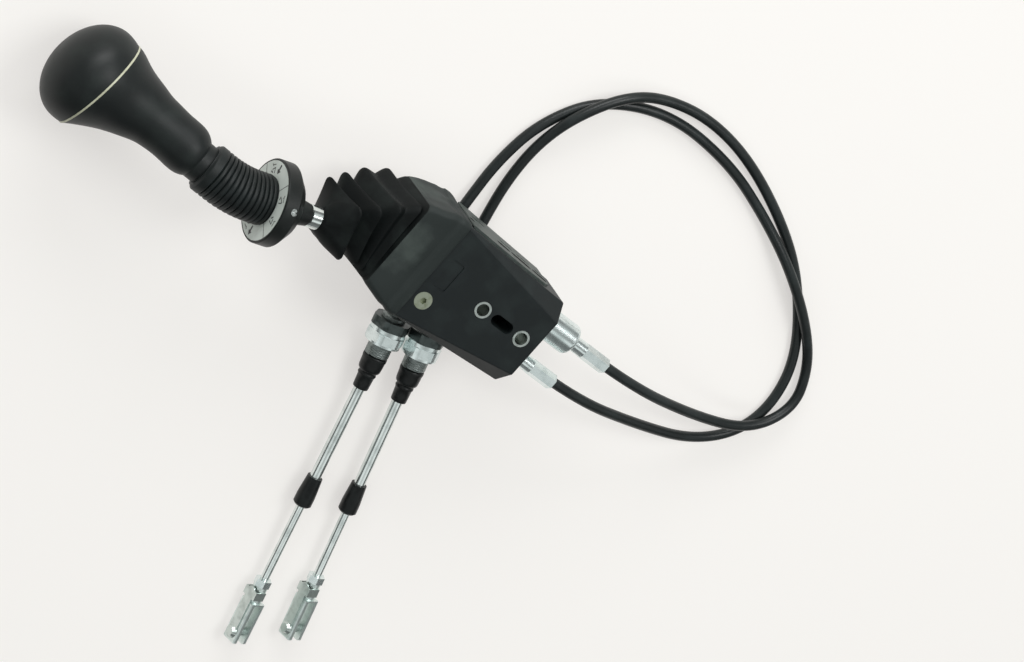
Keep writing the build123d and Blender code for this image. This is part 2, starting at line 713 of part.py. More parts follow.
for number, end_x in ferrule_ends.items():
    start_x = housing_bottom_x + ferrule_inset
    with BuildPart() as ferrule:
        with BuildSketch(across(start_x, cable_sides[number])):
            Circle(ferrule_radius)
        extrude(amount=end_x + crimp_length - start_x)
        with BuildSketch(across(end_x + crimp_length, cable_sides[number])):
            RegularPolygon(crimp_flats / 2, 6, major_radius=False)
        extrude(amount=-crimp_length)
        with BuildSketch(across(start_x, cable_sides[number])):
            Circle(link_radius + running_fit)
        extrude(amount=end_x - start_x, mode=Mode.SUBTRACT)
        with BuildSketch(across(end_x, cable_sides[number])):
            Circle(cable_radius)
        extrude(amount=cable_grip, mode=Mode.SUBTRACT)
    ferrule.part.label = f"cable_{number}_ferrule"
    export_step(ferrule.part, f"parts/cable_{number}_ferrule.step")

# ---------------------------------------------------------------- cable ends with fork heads
for number in (1, 2):
    hub_x, hub_y = hub_centres[number]
    tip_x, tip_y = clevis_tips[number]
    run = Vector(tip_x - hub_x, tip_y - hub_y, 0)
    ahead = run.normalized()
    aside = Vector(ahead.Y, -ahead.X, 0)
    hub_point = Vector(datum_x + hub_x, datum_y + hub_y, hub_height)
    seat = hub_point + ahead * swivel_seat
    drop = atan2(hub_height - clevis_tip_height, run.length - swivel_seat)
    down = ahead * cos(drop) - Vector(0, 0, sin(drop))
    hub_axis = Plane(origin=hub_point, x_dir=aside, z_dir=ahead)
    # places on the rod's line are distances from the middle of the nuts, as on the hub
    rod_axis = Plane(origin=seat - down * swivel_seat, x_dir=aside, z_dir=down)
    roll = radians(clevis_roll)
    up = aside.cross(down)
    fork_side = aside * cos(roll) + up * sin(roll)
    tip = (run.length - swivel_seat) / cos(drop) + swivel_seat
    fork_axis = Plane(origin=rod_axis.origin, x_dir=fork_side, z_dir=down)

    with BuildPart() as hub:
        with BuildSketch(hub_axis.offset(-hub_back)):
            Circle(hub_radius)
        extrude(amount=hub_back + hub_front)
        chamfer(hub.edges().filter_by(GeomType.CIRCLE), length=0.8)
        with BuildSketch(hub_axis.offset(-hub_back)):
            Circle(ferrule_radius)
        extrude(amount=-hub_tail)
        with BuildSketch(hub_axis.offset(-hub_back - hub_tail)):
            Circle(cable_radius)
        extrude(amount=cable_grip, mode=Mode.SUBTRACT)
        with Locations(hub_axis.offset(swivel_seat)):
            Sphere(swivel_ball_radius + running_fit, mode=Mode.SUBTRACT)
        with BuildSketch(hub_axis.offset(hub_front)):
            Circle(5.6)
        with BuildSketch(hub_axis.offset(swivel_seat + 2)):
            Circle(4.5)
        loft(mode=Mode.SUBTRACT)
    hub.part.label = f"cable_{number}_hub"
    export_step(hub.part, f"parts/cable_{number}_hub.step")

    nut_places = {"rear": -2.5 - nut_thickness, "front": 0.5}
    for place, start in nut_places.items():
        with BuildPart() as nut:
            with BuildSketch(hub_axis.offset(start)):
                RegularPolygon(nut_flats / 2, 6, major_radius=False)
                Circle(hub_radius, mode=Mode.SUBTRACT)
            extrude(amount=nut_thickness)
            with BuildSketch(hub_axis.offset(start)):
                Circle(nut_flats / 2 + 0.9)
            extrude(amount=nut_thickness, mode=Mode.INTERSECT)
        nut.part.label = f"cable_{number}_nut_{place}"
        export_step(nut.part, f"parts/cable_{number}_nut_{place}.step")

    washer_places = {"rear": -2.5, "middle": -1.0, "front": 0.5 + nut_thickness}
    for place, start in washer_places.items():
        with BuildPart() as washer:
            with BuildSketch(hub_axis.offset(start)):
                Circle(washer_radius)
                Circle(hub_radius, mode=Mode.SUBTRACT)
            extrude(amount=washer_thickness)
        washer.part.label = f"cable_{number}_washer_{place}"
        export_step(washer.part, f"parts/cable_{number}_washer_{place}.step")

    with BuildPart() as hub_boot:
        for start, end, radius in ((0.0, 8.0, 1.0), (8.0, 15.5, 0.84), (15.5, 24.0, 0.68)):
            with BuildSketch(hub_axis.offset(hub_front + body_gap + start)):
                Circle(hub_boot_radius * radius)
            extrude(amount=end - start)
        with BuildSketch(hub_axis.offset(hub_front + body_gap)):
            Circle(tube_radius + 0.8)
        extrude(amount=hub_boot_length, mode=Mode.SUBTRACT)
    hub_boot.part.label = f"cable_{number}_hub_boot"
    export_step(hub_boot.part, f"parts/cable_{number}_hub_boot.step")

    wiper_start = wiper_starts[number]
    wiper_end = wiper_start + wiper_length
    with BuildPart() as swivel_tube:
        with Locations(rod_axis.offset(swivel_seat)):
            Sphere(swivel_ball_radius)
        with BuildSketch(rod_axis.offset(swivel_seat)):
            Circle(tube_radius)
        extrude(amount=wiper_end - 3 - swivel_seat)
        with BuildSketch(rod_axis.offset(swivel_seat - swivel_ball_radius)):
            Circle(rod_radius + rod_bore_fit)
        extrude(amount=wiper_end, mode=Mode.SUBTRACT)
    swivel_tube.part.label = f"cable_{number}_swivel_tube"
    export_step(swivel_tube.part, f"parts/cable_{number}_swivel_tube.step")

    with BuildPart() as rod_wiper:
        with BuildSketch(rod_axis.offset(wiper_start)):
            Circle(wiper_small_radius)
        with BuildSketch(rod_axis.offset(wiper_start + wiper_length * 0.65)):
            Circle(wiper_large_radius)
        loft()
        with BuildSketch(rod_axis.offset(wiper_start + wiper_length * 0.65)):
            Circle(wiper_large_radius)
        extrude(amount=wiper_length * 0.35)
        chamfer(rod_wiper.faces().sort_by(Axis(rod_axis.origin, rod_axis.z_dir))[-1].edges(), length=1.2)
        with BuildSketch(rod_axis.offset(wiper_start)):
            Circle(tube_radius)
        extrude(amount=wiper_length - 3, mode=Mode.SUBTRACT)
        with BuildSketch(rod_axis.offset(wiper_start)):
            Circle(rod_radius + rod_bore_fit)
        extrude(amount=wiper_length, mode=Mode.SUBTRACT)
    rod_wiper.part.label = f"cable_{number}_rod_wiper"
    export_step(rod_wiper.part, f"parts/cable_{number}_rod_wiper.step")

    clevis_start = tip - clevis_length
    with BuildPart() as rod:
        with BuildSketch(rod_axis.offset(wiper_start - 40)):
            Circle(rod_radius)
        extrude(amount=clevis_start + clevis_neck - 1 - wiper_start + 40)
    rod.part.label = f"cable_{number}_rod"
    export_step(rod.part, f"parts/cable_{number}_rod.step")

    with BuildPart() as lock_nut:
        with BuildSketch(fork_axis.offset(clevis_start - lock_nut_thickness)):
            RegularPolygon(lock_nut_flats / 2, 6, major_radius=False)
            Circle(rod_radius, mode=Mode.SUBTRACT)
        extrude(amount=lock_nut_thickness)
    lock_nut.part.label = f"cable_{number}_lock_nut"
    export_step(lock_nut.part, f"parts/cable_{number}_lock_nut.step")

    pin_place = tip - clevis_pin_from_end
    with BuildPart() as clevis:
        with BuildSketch(fork_axis.offset(clevis_start)):
            Circle(clevis_neck_radius)
        extrude(amount=clevis_neck)
        with BuildSketch(fork_axis.offset(clevis_start + clevis_neck)):
            Rectangle(clevis_flats, clevis_flats)
        extrude(amount=clevis_length - clevis_neck)
        chamfer(clevis.edges().filter_by(Axis(fork_axis.origin, fork_axis.z_dir)), length=0.8)
        chamfer(clevis.faces().sort_by(Axis(fork_axis.origin, fork_axis.z_dir))[-1].edges(), length=0.8)
        with BuildSketch(fork_axis.offset(clevis_start + clevis_neck + 1)):
            Rectangle(clevis_gap, clevis_flats)
        extrude(amount=clevis_length, mode=Mode.SUBTRACT)
        with BuildSketch(fork_axis.offset(clevis_start)):
            Circle(rod_radius)
        extrude(amount=clevis_neck + 1, mode=Mode.SUBTRACT)
        with BuildSketch(Plane(origin=rod_axis.origin + down * pin_place, x_dir=down, z_dir=fork_side)):
            Circle(clevis_pin_radius)
        extrude(amount=clevis_flats, both=True, mode=Mode.SUBTRACT)
    clevis.part.label = f"cable_{number}_clevis"
    export_step(clevis.part, f"parts/cable_{number}_clevis.step")

    half_fork = clevis_flats / 2
    clip_plane = Plane(origin=rod_axis.origin, x_dir=down, z_dir=fork_side)
    with BuildPart() as pin_clip:
        with BuildSketch(clip_plane.offset(-half_fork - 1.5)):
            with Locations((pin_place, 0)):
                Circle(clevis_pin_radius)
        extrude(amount=2 * half_fork + 1.5)
        with BuildSketch(clip_plane.offset(half_fork)):
            with Locations(((clevis_start + 6 + pin_place) / 2, 0)):
                SlotOverall(pin_place - clevis_start + 4, 7)
        extrude(amount=clip_thickness)
        with BuildSketch(clip_plane.offset(half_fork)):
            with Locations((pin_place, 0)):
                Circle(4.6)
        extrude(amount=2.6, taper=30)
        # two ears bent round the fork's neck
        with BuildSketch(clip_plane.offset(half_fork)):
            with Locations((clevis_start + 6, 0)):
                Rectangle(6, 2 * (clevis_neck_radius + clip_thickness))
        extrude(amount=clip_thickness)
        with BuildSketch(clip_plane.offset(half_fork)):
            with Locations((clevis_start + 6, clevis_neck_radius + clip_thickness / 2)):
                Rectangle(6, clip_thickness)
            with Locations((clevis_start + 6, -clevis_neck_radius - clip_thickness / 2)):
                Rectangle(6, clip_thickness)
        extrude(amount=-half_fork - 2)
    pin_clip.part.label = f"cable_{number}_clevis_pin_clip"
    export_step(pin_clip.part, f"parts/cable_{number}_clevis_pin_clip.step")

# ---------------------------------------------------------------- cables, as they lie
hub_runs = {}
for number in (1, 2):
    hub_x, hub_y = hub_centres[number]
    tip_x, tip_y = clevis_tips[number]
    length = ((tip_x - hub_x) ** 2 + (tip_y - hub_y) ** 2) ** 0.5
    back_x, back_y = (hub_x - tip_x) / length, (hub_y - tip_y) / length
    hub_runs[number] = [(hub_x + back * back_x, hub_y + back * back_y, hub_height) for back in (46.0, 8.0)]

cable_routes = {
    1: [
        (-71, -14.5, 43.5), (-114, -14.5, 43.5), (-180, -21.5, 21), (-223, -35, 13), (-242, -64, 6.5), (-231, -91, 4),
        (-203, -113.5, 11.5), (-164, -136, 11.5), (-128, -151, 3.6), (-82, -164, 3.6), (-25, -165, 3.6),
        (20, -143, 3.6), (41, -108, 3.6), (46, -72, 3.6), (44, -38, 5),
    ] + hub_runs[1],
    2: [
        (-49.5, 14.5, 43.5), (-90, 14.5, 43.5), (-150, 6, 23), (-196, -5, 9), (-223, -28, 4), (-229, -58, 3.6),
        (-218, -92, 3.6), (-186, -127, 3.6), (-150, -151.5, 3.6), (-95, -173, 3.6), (-50, -178.5, 3.6),
        (-12, -170, 5), (13, -154, 11.5), (30, -124, 12), (33, -96, 4.5), (32, -68, 3.6), (27, -40, 4.5),
    ] + hub_runs[2],
}
for number, route in cable_routes.items():
    points = [Vector(datum_x + x, datum_y + y, z) for x, y, z in route]
    radii = []
    for before, corner, after in zip(points, points[1:], points[2:]):
        half_turn = radians((corner - before).get_angle(after - corner)) / 2
        shorter = min((corner - before).length, (after - corner).length)
        radii.append(0.45 * shorter / tan(half_turn))
    with BuildPart() as cable:
        with BuildLine():
            FilletPolyline(*points, radius=radii)
        with BuildSketch(Plane(origin=points[0], z_dir=points[1] - points[0])):
            Circle(cable_radius)
        sweep()
    cable.part.label = f"cable_{number}"
    export_step(cable.part, f"parts/cable_{number}.step")
    print(f"cable {number} radii", [round(radius) for radius in radii])
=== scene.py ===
# %% [markdown]
# # A two-axis cable lever unit
# One joystick lever moves two push-pull cables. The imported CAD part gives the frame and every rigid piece,
# and this script gives the part its looks: finishes named after what they are made of, the two cables, the
# rubber boot with its pleats, the ribbed sleeve on the bent lever, rolled threads and the print on the
# disc. Lengths are in metres in the frame's own axes. `at` takes millimetres from a point on the table,
# half way between the two mounting bolts, because every drawn size of the unit starts there.

# %% Load the frame
import json
from math import cos, pi, radians, sin

import bpy
from mathutils import Matrix, Vector, noise


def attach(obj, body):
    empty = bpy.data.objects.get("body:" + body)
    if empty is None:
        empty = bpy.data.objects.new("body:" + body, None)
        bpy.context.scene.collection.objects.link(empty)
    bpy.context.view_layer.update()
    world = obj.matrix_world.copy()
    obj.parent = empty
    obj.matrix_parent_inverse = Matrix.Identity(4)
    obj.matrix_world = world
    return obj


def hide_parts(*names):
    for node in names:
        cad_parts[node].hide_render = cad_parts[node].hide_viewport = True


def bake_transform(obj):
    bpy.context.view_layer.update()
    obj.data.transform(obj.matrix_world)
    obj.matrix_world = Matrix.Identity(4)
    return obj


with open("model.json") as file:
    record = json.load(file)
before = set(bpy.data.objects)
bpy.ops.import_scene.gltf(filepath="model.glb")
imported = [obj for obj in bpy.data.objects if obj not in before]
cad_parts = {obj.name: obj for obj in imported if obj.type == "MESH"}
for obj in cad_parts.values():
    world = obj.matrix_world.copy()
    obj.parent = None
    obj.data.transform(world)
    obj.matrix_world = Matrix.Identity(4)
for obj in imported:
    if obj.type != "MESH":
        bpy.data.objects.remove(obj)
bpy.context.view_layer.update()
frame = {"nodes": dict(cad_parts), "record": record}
nodes = frame["nodes"]
DATUM = Vector((-0.13612, -0.01447, 0.0))
MM = 0.001


def at(x, y, z):
    """A point given in millimetres from the datum."""
    return DATUM + Vector((x, y, z)) * MM


# %% [markdown]
# ## Camera
# A long lens from high up keeps the unit's own proportions. The view could be set by three angles, but two
# points and a rightward direction are easier to read. The camera's axes are its right, its up and its back.

# %% Place the camera
camera_data = bpy.data.cameras.new("camera")
camera_data.lens = 135
camera_data.sensor_width = 36
camera_data.clip_end = 20
camera = bpy.data.objects.new("camera", camera_data)
bpy.context.scene.collection.objects.link(camera)
look_from, look_at = at(1133.5, -349.1, 2177.0), at(-6.6, -1.1, 71.9)
back = (look_from - look_at).normalized()
right = Vector((0.5333, -0.739, -0.411)).cross(back).normalized()
up = back.cross(right)
turn = Matrix((right, up, back)).transposed().to_4x4()
camera.matrix_world = Matrix.Translation(look_from) @ turn
bpy.context.scene.camera = camera
print("camera at", [round(v, 3) for v in look_from])

# %% [markdown]
# ## Nodes, and the studio's surroundings
# Bright metal shows what stands round it, so a studio table has white and black cards. A picture of a
# studio could surround the scene, but a ramp over the direction of view is lighter: it gives dark and pale
# bands across the tilt of the cards. `node` adds any node with its settings and its links, and serves the
# materials and the geometry trees too. Where it is given a node, it takes that node's first output.

# %% Surround the scene with cards
def node(tree, kind, inputs=(), **settings):
    """A new node with its settings. The inputs, by name or in order, are set or linked."""
    made = tree.nodes.new(kind)
    for setting, value in settings.items():
        setattr(made, setting, value)
    for key, value in inputs.items() if isinstance(inputs, dict) else enumerate(inputs):
        source = value.outputs[0] if isinstance(value, bpy.types.Node) else value
        if isinstance(source, bpy.types.NodeSocket):
            tree.links.new(source, made.inputs[key])
        else:
            made.inputs[key].default_value = source
    return made


CARD_TILT = (0.25, -0.62, 0.74)
CARD_BANDS = ((0.46, 0.16), (0.56, 0.1), (0.62, 1.1), (0.7, 0.95), (0.76, 0.14), (0.85, 0.22), (0.91, 1.15))

bpy.context.scene.view_settings.view_transform = "Standard"
world = bpy.data.worlds.new("studio")
bpy.context.scene.world = world
world.use_nodes = True
sky = world.node_tree
direction = node(sky, "ShaderNodeTexCoord").outputs["Generated"]
tilt = node(sky, "ShaderNodeVectorMath", (direction, CARD_TILT), operation="DOT_PRODUCT")
spread = node(sky, "ShaderNodeMapRange", {"Value": tilt.outputs["Value"], "From Min": -1.0})
bands = node(sky, "ShaderNodeValToRGB", (spread,))
bands.color_ramp.elements[0].color = (0.3, 0.32, 0.32, 1)
bands.color_ramp.elements[1].color = (0.75, 0.79, 0.78, 1)
for place, grey in CARD_BANDS:
    stop = bands.color_ramp.elements.new(place)
    stop.color = (grey * 0.96, grey, grey * 0.99, 1)
sky.links.new(bands.outputs["Color"], sky.nodes["Background"].inputs["Color"])
sky.nodes["Background"].inputs["Strength"].default_value = 0.95
print("cards:", len(CARD_BANDS) + 2, "grey levels")

# %% [markdown]
# ## Lights
# One broad softbox stands above and one by the cover's side. Area lights are the nearest thing to a real
# softbox, and their size makes the shadows soft.

# %% Set up the softboxes
def softbox(name, place, aim, width, height, power):
    """A rectangular area light that faces a point."""
    light = bpy.data.lights.new(name, "AREA")
    light.shape = "RECTANGLE"
    light.size, light.size_y, light.energy = width, height, power
    obj = bpy.data.objects.new(name, light)
    obj.location = place
    obj.rotation_euler = (Vector(aim) - Vector(place)).to_track_quat("-Z", "Y").to_euler()
    bpy.context.scene.collection.objects.link(obj)
    return obj


softbox("key", (-0.5, -1.3, 2.1), (0, 0, 0.05), 1.3, 0.9, 22)
softbox("side", (0.9, -1.4, 0.7), (0, 0, 0.05), 1.3, 0.6, 17)
print("lights:", len(bpy.data.lights))

# %% [markdown]
# ## One way to build a finish
# Every finish here is a base colour, soft patches of a second colour where it has worn or dusted, a fine
# grain as bump, and a roughness that follows the patches. One function builds them all, so that what
# differs is only what is written at each finish. Pattern sizes are real, in millimetres, on the piece's own
# coordinates. Moulded and rolled surfaces have a grain of about 0.2 mm, which is too fine to show from
# here, so it is drawn at 0.6 to 1.2 mm.

# %% Build a finish
def linear(code):
    """An sRGB hex code as linear colour."""
    parts = [int(code[i:i + 2], 16) / 255 for i in (1, 3, 5)]
    return [p / 12.92 if p <= 0.04045 else ((p + 0.055) / 1.055) ** 2.4 for p in parts] + [1.0]


def surface(name, colour, rough, metal=0.0, patch=None, patch_mm=8.0, patch_share=0.5,
            grain_mm=0.0, grain_height=0.02, shine=0.5):
    """A material with patches of a second colour and a fine grain, both sized in millimetres."""
    mat = bpy.data.materials.new(name)
    mat.use_nodes = True
    tree = mat.node_tree
    bsdf = tree.nodes["Principled BSDF"]
    bsdf.inputs["Metallic"].default_value = metal
    bsdf.inputs["Base Color"].default_value = linear(colour)
    bsdf.inputs["Roughness"].default_value = rough
    bsdf.inputs["Specular IOR Level"].default_value = shine
    place = node(tree, "ShaderNodeTexCoord").outputs["Object"]
    if patch:
        cloud = node(tree, "ShaderNodeTexNoise", {"Vector": place, "Scale": 1000 / patch_mm, "Detail": 4})
        ramp = node(tree, "ShaderNodeValToRGB", {"Fac": cloud.outputs["Fac"]})
        low, high = ramp.color_ramp.elements
        low.position, low.color = 0.62 - 0.3 * patch_share, linear(colour)
        high.position, high.color = 0.82 - 0.3 * patch_share, linear(patch)
        vary = node(tree, "ShaderNodeMapRange", {
            "Value": cloud.outputs["Fac"],
            "To Min": max(rough - 0.08, 0.02),
            "To Max": min(rough + 0.10, 1.0)})
        tree.links.new(ramp.outputs["Color"], bsdf.inputs["Base Color"])
        tree.links.new(vary.outputs["Result"], bsdf.inputs["Roughness"])
    if grain_mm:
        grain = node(tree, "ShaderNodeTexNoise", {"Vector": place, "Scale": 1000 / grain_mm, "Detail": 2})
        bump = node(tree, "ShaderNodeBump", {"Strength": 1.0, "Distance": grain_height * MM,
                                             "Height": grain.outputs["Fac"]})
        tree.links.new(bump.outputs["Normal"], bsdf.inputs["Normal"])
    return mat


# %% [markdown]
# ## Plastics and rubbers
# Nearly everything is black, so the finishes differ in their sheen and their dust more than in colour.
# Each one starts from the usual roughness of its material, and its shine is turned down where the real
# surface is matte from use.

# %% Name the plastics and rubbers
finish = {
    # nylon from a spark-eroded mould: nearly black, with a faint dull bloom
    "housing_plastic": surface("glass-filled nylon", "#13191a", 0.5, patch="#1b2222", patch_mm=16,
                               grain_mm=0.7, grain_height=0.03, shine=0.26),
    # a plainer moulding, greyed by handling
    "cover_plastic": surface("moulded cover plastic", "#3b423f", 0.5, patch="#4a524e", patch_mm=10,
                             grain_mm=0.7, shine=0.3),
    # chloroprene: very dark and matte, so that only the crests catch light
    "boot_rubber": surface("moulded boot rubber", "#090d0d", 0.6, patch="#161b1a", patch_mm=15,
                           patch_share=0.5, grain_mm=0.9, shine=0.15),
    # oiled by the rods, so it is a little glossier than the boot
    "wiper_rubber": surface("nitrile rubber", "#0b0e0e", 0.36, patch="#131717", patch_mm=7,
                            grain_mm=0.8, shine=0.3),
    # dipped PVC: a soft satin on every rib
    "sleeve_rubber": surface("soft PVC sleeve", "#121717", 0.46, patch="#1b2121", patch_mm=9,
                             grain_mm=0.8, shine=0.28),
    # turned from bar: even, slightly glossy black
    "disc_plastic": surface("turned acetal disc", "#101413", 0.42, patch="#181d1b", patch_mm=7,
                            grain_mm=0.6, shine=0.28),
    # a pale grey film with a printed face
    "label_film": surface("printed label film", "#ccd3cd", 0.5, patch="#c2c9c3", patch_mm=9),
    # moulded and polished by the hand, with broad soft highlights
    "grip_plastic": surface("moulded grip polyamide", "#0f1414", 0.46, patch="#161c1b", patch_mm=14,
                            grain_mm=0.9, grain_height=0.03, shine=0.3),
    # an off-white insert that has yellowed
    "inlay_plastic": surface("cream inlay plastic", "#b3b39c", 0.4, patch="#a5a58e", patch_mm=6),
    # extruded over the conduit: smooth, with a long thin highlight
    "cable_sheath": surface("extruded cable sheath", "#161b1b", 0.36, patch="#1e2424", patch_mm=16,
                            grain_mm=1.2, shine=0.34),
}
print("plastics and rubbers:", len(finish))

# %% [markdown]
# ## Metals
# All the metal is steel, and the plating makes the difference: blue-passivated zinc is bright and cool,
# old zinc is yellowish and dull, and a thread looks darker because its flanks hide the light. Zinc breaks
# up into crystals a few millimetres wide, which is what the patches are here.

# %% Name the metals, and give each CAD node its finish
finish.update({
    # plated and then pressed in: a clean, half-bright ring
    "bush_steel": surface("zinc-plated bush steel", "#c3cac6", 0.28, 1.0, patch="#a9b0ac", patch_mm=4),
    # an old screw head, dull and a little green
    "yellow_zinc": surface("aged zinc screw plate", "#a8ae9c", 0.36, 1.0, patch="#90967f", patch_mm=4),
    # ground for its seal, so it is almost a mirror
    "bright_steel": surface("ground bright steel", "#dfe5e3", 0.16, 1.0, patch="#ccd3d1", patch_mm=9),
    # bright plate with a blue cast, on the nuts, ferrules and rods
    "blue_zinc": surface("blue zinc plate", "#e6efee", 0.24, 1.0, patch="#d5e0df", patch_mm=8),
    # a darker plate: painted shade for the flanks of the thread, which hide the light, and plate worn thin on
    # them
    "thread_zinc": surface("rolled thread zinc with painted flank shade", "#8d9492", 0.4, 1.0, patch="#727977", patch_mm=4),
    # zinc painted dark: painted shade and a painted dark reflection for plate that lies in shadow
    "dark_zinc": surface("zinc with painted shade", "#565d5c", 0.34, 1.0, patch="#3a403f", patch_mm=6),
    # bent from plated wire
    "clip_steel": surface("zinc-plated spring steel", "#ccd5d1", 0.3, 1.0, patch="#b6bfbb", patch_mm=5),
    # a milled block with a satin passivated skin
    "clevis_zinc": surface("passivated fork zinc", "#dde7e4", 0.34, 1.0, patch="#c9d4d1", patch_mm=6),
    # bare and greased, inside the housing
    "mechanism_steel": surface("greased machined steel", "#8c8d8e", 0.35, 1.0, patch="#6a6b6c", patch_mm=5),
})
slots = {part["node"]: part["material_slot"] for part in frame["record"]["subparts"]}
for name, obj in nodes.items():
    obj.data.materials.clear()
    obj.data.materials.append(finish[slots[name]])
print("finishes:", len(finish), "on", len(nodes), "nodes")

# %% [markdown]
# ## The table
# The unit lies on a pale matte board. A plane is enough. It glows a little, as a white board lit from all
# sides does, so that the softboxes' edges don't show on it.

# %% Lay the table
TABLE_SIZE = 14
BELOW_THE_PART = -0.0002                          # keeps the board just clear of what rests on it

table_mat = surface("matte pale table", "#a8a7a4", 0.95, shine=0.0)
table_bsdf = table_mat.node_tree.nodes["Principled BSDF"]
table_bsdf.inputs["Emission Color"].default_value = linear("#fffbf8")
table_bsdf.inputs["Emission Strength"].default_value = 0.55
bpy.ops.mesh.primitive_plane_add(size=TABLE_SIZE, location=(0, 0, BELOW_THE_PART))
table = bpy.context.object
table.name = "table"
table.data.materials.append(table_mat)
print("table:", TABLE_SIZE, "m wide")

# %% [markdown]
# ## The two cables
# Each cable is a stiff sheath that leaves the housing, makes one wide loop on the table, crosses the other
# cable and comes back under the housing to its threaded hub. A tube swept over a mesh line would do, but a
# NURBS curve with a round bevel is the same curve as the CAD tube's, so both follow one route. The route's
# points are in millimetres, and the last two lie on the hub's own line.

# %% Write down the routes
HUB_HEIGHT = 12.5
hub_centres = {1: (29.1, 57.5), 2: (3.4, 50.2)}
clevis_tips = {1: (-39.5, 286.1), 2: (-68.7, 263.0)}
routes = {
    1: [
        (-71, -14.5, 43.5), (-114, -14.5, 43.5), (-180, -21.5, 21), (-223, -35, 13), (-242, -64, 6.5),
        (-231, -91, 4), (-203, -113.5, 11.5), (-164, -136, 11.5), (-128, -151, 3.6), (-82, -164, 3.6),
        (-25, -165, 3.6), (20, -143, 3.6), (41, -108, 3.6), (46, -72, 3.6), (44, -38, 5),
    ],
    2: [
        (-49.5, 14.5, 43.5), (-90, 14.5, 43.5), (-150, 6, 23), (-196, -5, 9), (-223, -28, 4),
        (-229, -58, 3.6), (-218, -92, 3.6), (-186, -127, 3.6), (-150, -151.5, 3.6), (-95, -173, 3.6),
        (-50, -178.5, 3.6),
        (-12, -170, 5), (13, -154, 11.5), (30, -124, 12), (33, -96, 4.5), (32, -68, 3.6), (27, -40, 4.5),
    ],
}


def hub_line(number):
    """The middle of a hub, in millimetres from the datum, and its direction to the fork head."""
    hub = Vector((*hub_centres[number], HUB_HEIGHT))
    return hub, (Vector((*clevis_tips[number], HUB_HEIGHT)) - hub).normalized()


print("route points:", {number: len(route) for number, route in routes.items()})

# %% Lay the cables
SHEATH_RADIUS = 3.5

for number, route in routes.items():
    hub, way = hub_line(number)
    points = [at(*p) for p in route] + [at(*(hub - way * d)) for d in (46, 8)]
    curve = bpy.data.curves.new(f"cable {number} line", "CURVE")
    curve.dimensions = "3D"
    spline = curve.splines.new("NURBS")
    spline.points.add(len(points) - 1)
    for point, place in zip(spline.points, points):
        point.co = (*place, 1)
    spline.order_u = 3
    spline.use_endpoint_u = True
    spline.resolution_u = 12
    curve.bevel_depth = SHEATH_RADIUS * MM
    curve.bevel_resolution = 6
    curve.use_fill_caps = True
    cable = bpy.data.objects.new(f"cable_{number}_sheath", curve)
    bpy.context.scene.collection.objects.link(cable)
    curve.materials.append(finish["cable_sheath"])
    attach(cable, "housing")
    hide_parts(f"cable_{number}")
    print("cable", number, "through", len(points), "points")

# %% [markdown]
# ## Lengths and leanings shared by the soft pieces
# The lever leaves its pivot at a slant, and the boot, the sleeve and the print all follow that line. So
# the line and three directions along and across it are worked out once.

# %% Find the lever's line
PIVOT = at(64, 0, 43.5)
LEVER_PITCH, LEVER_YAW = 8, 14.5


def leaning(pitch, yaw):
    """The side, front and ahead directions of something that leans by pitch and yaw, in degrees."""
    p, w = radians(pitch), radians(yaw)
    ahead = Vector((cos(w) * cos(p), sin(w), cos(w) * sin(p)))
    side = Vector((-sin(w) * cos(p), cos(w), -sin(w) * sin(p)))
    return side, ahead.cross(side), ahead


SIDE, FRONT, AHEAD = leaning(LEVER_PITCH, LEVER_YAW)


def on_lever(distance):
    """The point on the lever's line, that many millimetres from its pivot."""
    return PIVOT + AHEAD * distance * MM


def new_piece(name, points, faces, material, slot, smooth=True):
    """A mesh object from points and faces, with one material."""
    mesh = bpy.data.meshes.new(name)
    mesh.from_pydata([tuple(p) for p in points], [], faces)
    mesh.materials.append(material)
    if smooth:
        mesh.shade_smooth()
    obj = bpy.data.objects.new(name, mesh)
    bpy.context.scene.collection.objects.link(obj)
    return obj


def skin(loops):
    """Points and faces of the skin over a row of loops with the same number of points."""
    count = len(loops[0])
    points = [p for loop in loops for p in loop]
    faces = []
    for row in range(len(loops) - 1):
        for k in range(count):
            n = (k + 1) % count
            faces.append((row * count + k, row * count + n, (row + 1) * count + n, (row + 1) * count + k))
    return points, faces


print("the lever points along", [round(v, 3) for v in AHEAD])

# %% [markdown]
# ## The rubber boot
# The boot is moulded chloroprene: a skirt, a shoulder, and five square rims with grooves between them. It
# could be one bellows with a screw modifier, but no two of its rims have the same size or slant. So it is a
# row of loops. Each loop is a rounded rectangle whose straight sides sag inwards a little, as rubber does.
# A section is its middle, half width, half depth, pitch and yaw, in millimetres and degrees.

# %% Draw one loop of the boot
CORNER_STEPS, SIDE_STEPS = 8, 12


def loop_at(section, inset=0.0, corner=4.5, sag=0.0):
    """A loop of points round one section of the boot, moved in by inset."""
    (x, y, z), half_y, half_z, pitch, yaw = section
    side, front, _ = leaning(pitch, yaw)
    a, b = half_y - inset, half_z - inset
    r = min(corner, a, b)
    corners = []
    for quarter, (sy, sz) in enumerate(((1, 1), (-1, 1), (-1, -1), (1, -1))):
        for step in range(CORNER_STEPS):
            turn = (quarter + step / (CORNER_STEPS - 1)) * pi / 2
            corners.append((sy * (a - r) + r * cos(turn), sz * (b - r) + r * sin(turn)))
    flat = []
    for k, (u, v) in enumerate(corners):
        flat.append((u, v))
        if k % CORNER_STEPS == CORNER_STEPS - 1:
            u2, v2 = corners[(k + 1) % len(corners)]
            for step in range(1, SIDE_STEPS):
                t = step / SIDE_STEPS
                dip = 1 - sag * sin(pi * t) / max(a, b)
                flat.append(((u + (u2 - u) * t) * dip, (v + (v2 - v) * t) * dip))
    return [at(x, y, z) + (side * u + front * v) * MM for u, v in flat]


def between(low, high, t):
    """The section a share t of the way from one section to the next."""
    middle = tuple(p + (q - p) * t for p, q in zip(low[0], high[0]))
    return (middle,) + tuple(p + (q - p) * t for p, q in zip(low[1:], high[1:]))


